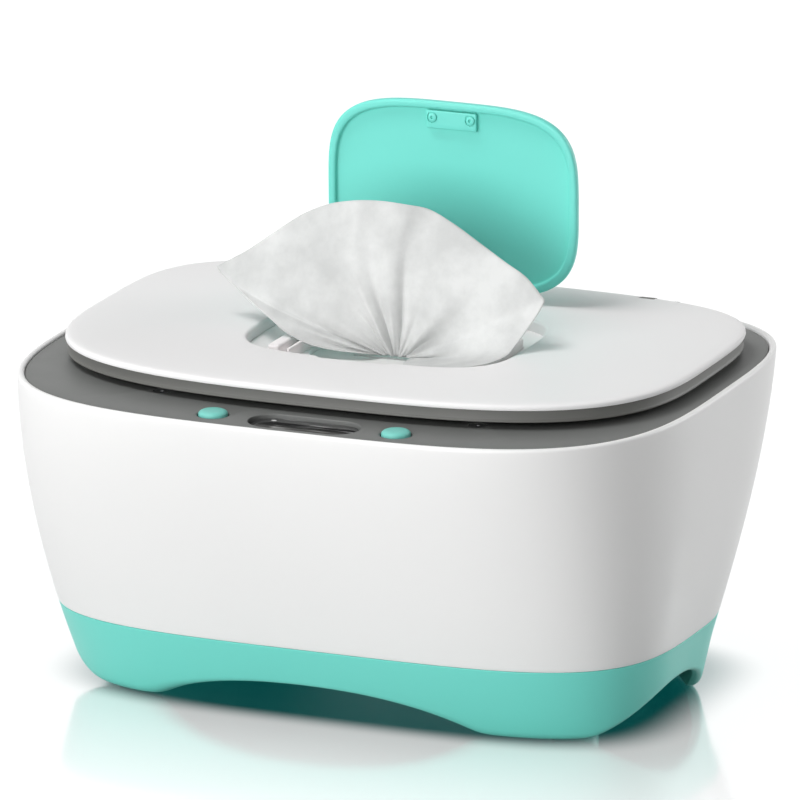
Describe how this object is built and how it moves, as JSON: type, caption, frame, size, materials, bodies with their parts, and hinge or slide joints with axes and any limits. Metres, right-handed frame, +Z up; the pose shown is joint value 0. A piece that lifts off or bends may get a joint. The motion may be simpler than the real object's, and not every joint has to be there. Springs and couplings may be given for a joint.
{
  "type": "wipe warmer",
  "caption": "Tabletop wipe warmer with a tapered body, arched base, hinged main lid, flip lid over a dispensing slot and push buttons.",
  "frame": {"origin": "on the surface the warmer stands on, under the middle of its body", "axes": "+X to the right along the width, -Y to the front with the buttons, +Z up"},
  "size_m": [0.2506, 0.2046, 0.1983],
  "materials": {
    "white_shell": "satin",
    "teal_plastic": "satin",
    "grey_bezel": "matte",
    "dark_frame": "satin",
    "inner_white": "matte",
    "black_plastic": "matte",
    "foot_rubber": "matte",
    "seal_rubber": "matte",
    "screw_steel": "satin",
    "plate_aluminium": "satin",
    "film_orange": "satin",
    "foam": "matte",
    "board_green": "satin",
    "window_clear": "gloss",
    "wire_red": "matte",
    "cloth": "matte"
  },
  "bodies": {
    "body": {"base_tray": "teal_plastic", "rubber_feet": "foot_rubber", "base_screws": "screw_steel", "outer_shell": "white_shell", "inner_tub": "inner_white", "bezel_ring": "grey_bezel", "bezel_screws": "screw_steel", "heater_plate": "plate_aluminium", "heating_film": "film_orange", "insulation_pad": "foam", "heater_retainer": "black_plastic", "retainer_screws": "screw_steel", "temperature_sensor": "black_plastic", "thermal_fuse": "inner_white", "control_board": "board_green", "board_screws": "screw_steel", "tact_switches": "black_plastic", "display_module": "dark_frame", "display_window": "window_clear", "dc_jack": "black_plastic", "wire_harness": "wire_red", "lid_hinge_pins": "screw_steel", "wipe_stack": "cloth"},
    "main_lid": {"lid_panel": "white_shell", "lid_frame": "dark_frame", "lid_screws": "screw_steel", "lid_seal": "seal_rubber", "dispenser_plate": "inner_white", "dispenser_lips": "seal_rubber", "flip_hinge_pin": "screw_steel", "wipe": "cloth"},
    "flip_cover": {"flip_lid": "teal_plastic", "catch_plate": "teal_plastic", "catch_screws": "teal_plastic"},
    "left_button": {"button_left": "teal_plastic"},
    "right_button": {"button_right": "teal_plastic"}
  },
  "joints": [
    {"name": "main_lid_hinge", "type": "hinge", "parent": "body", "child": "main_lid", "pos_m": [0, 0.09035, 0.1196], "axis": [-1, 0, 0], "range_deg": [0, 95]},
    {"name": "flip_lid_hinge", "type": "hinge", "parent": "main_lid", "child": "flip_cover", "pos_m": [0, 0.04885, 0.1168], "axis": [1, 0, 0], "range_deg": [0, 90], "deforming": ["wipe"]},
    {"name": "left_button_press", "type": "slide", "parent": "body", "child": "left_button", "axis": [0, 0, -1], "range_m": [0, 0.0008], "stiffness_N_per_m": 1500},
    {"name": "right_button_press", "type": "slide", "parent": "body", "child": "right_button", "axis": [0, 0, -1], "range_m": [0, 0.0008], "stiffness_N_per_m": 1500}
  ]
}
